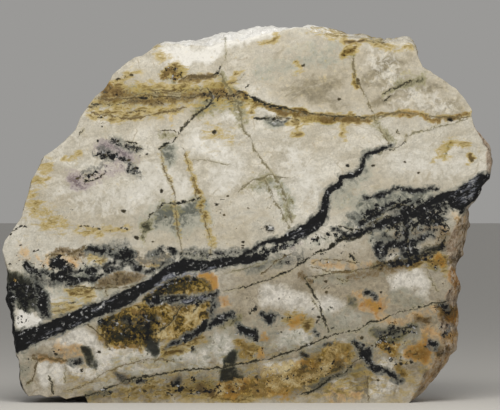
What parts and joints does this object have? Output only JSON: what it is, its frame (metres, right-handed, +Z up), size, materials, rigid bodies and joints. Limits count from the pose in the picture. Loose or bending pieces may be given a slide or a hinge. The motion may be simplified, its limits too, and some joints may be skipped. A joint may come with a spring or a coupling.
{
  "type": "silver ore specimen",
  "caption": "Slab of white vein quartz laced with dark silver ore and ochre stains, sawn flat on one side, rough elsewhere, standing on its flat base.",
  "frame": {"origin": "under the middle of the stone's bounding box, on the surface that it stands on", "axes": "+X along the stone's width, to the right as one looks at the sawn face; -Y is the way the sawn face looks; +Z is up"},
  "size_m": [0.1233, 0.0388, 0.0949],
  "materials": {
    "ore_stone": "sawn face with a low sheen, rough broken sides"
  },
  "bodies": {
    "root": {"ore_slab": "ore_stone"}
  },
  "joints": []
}
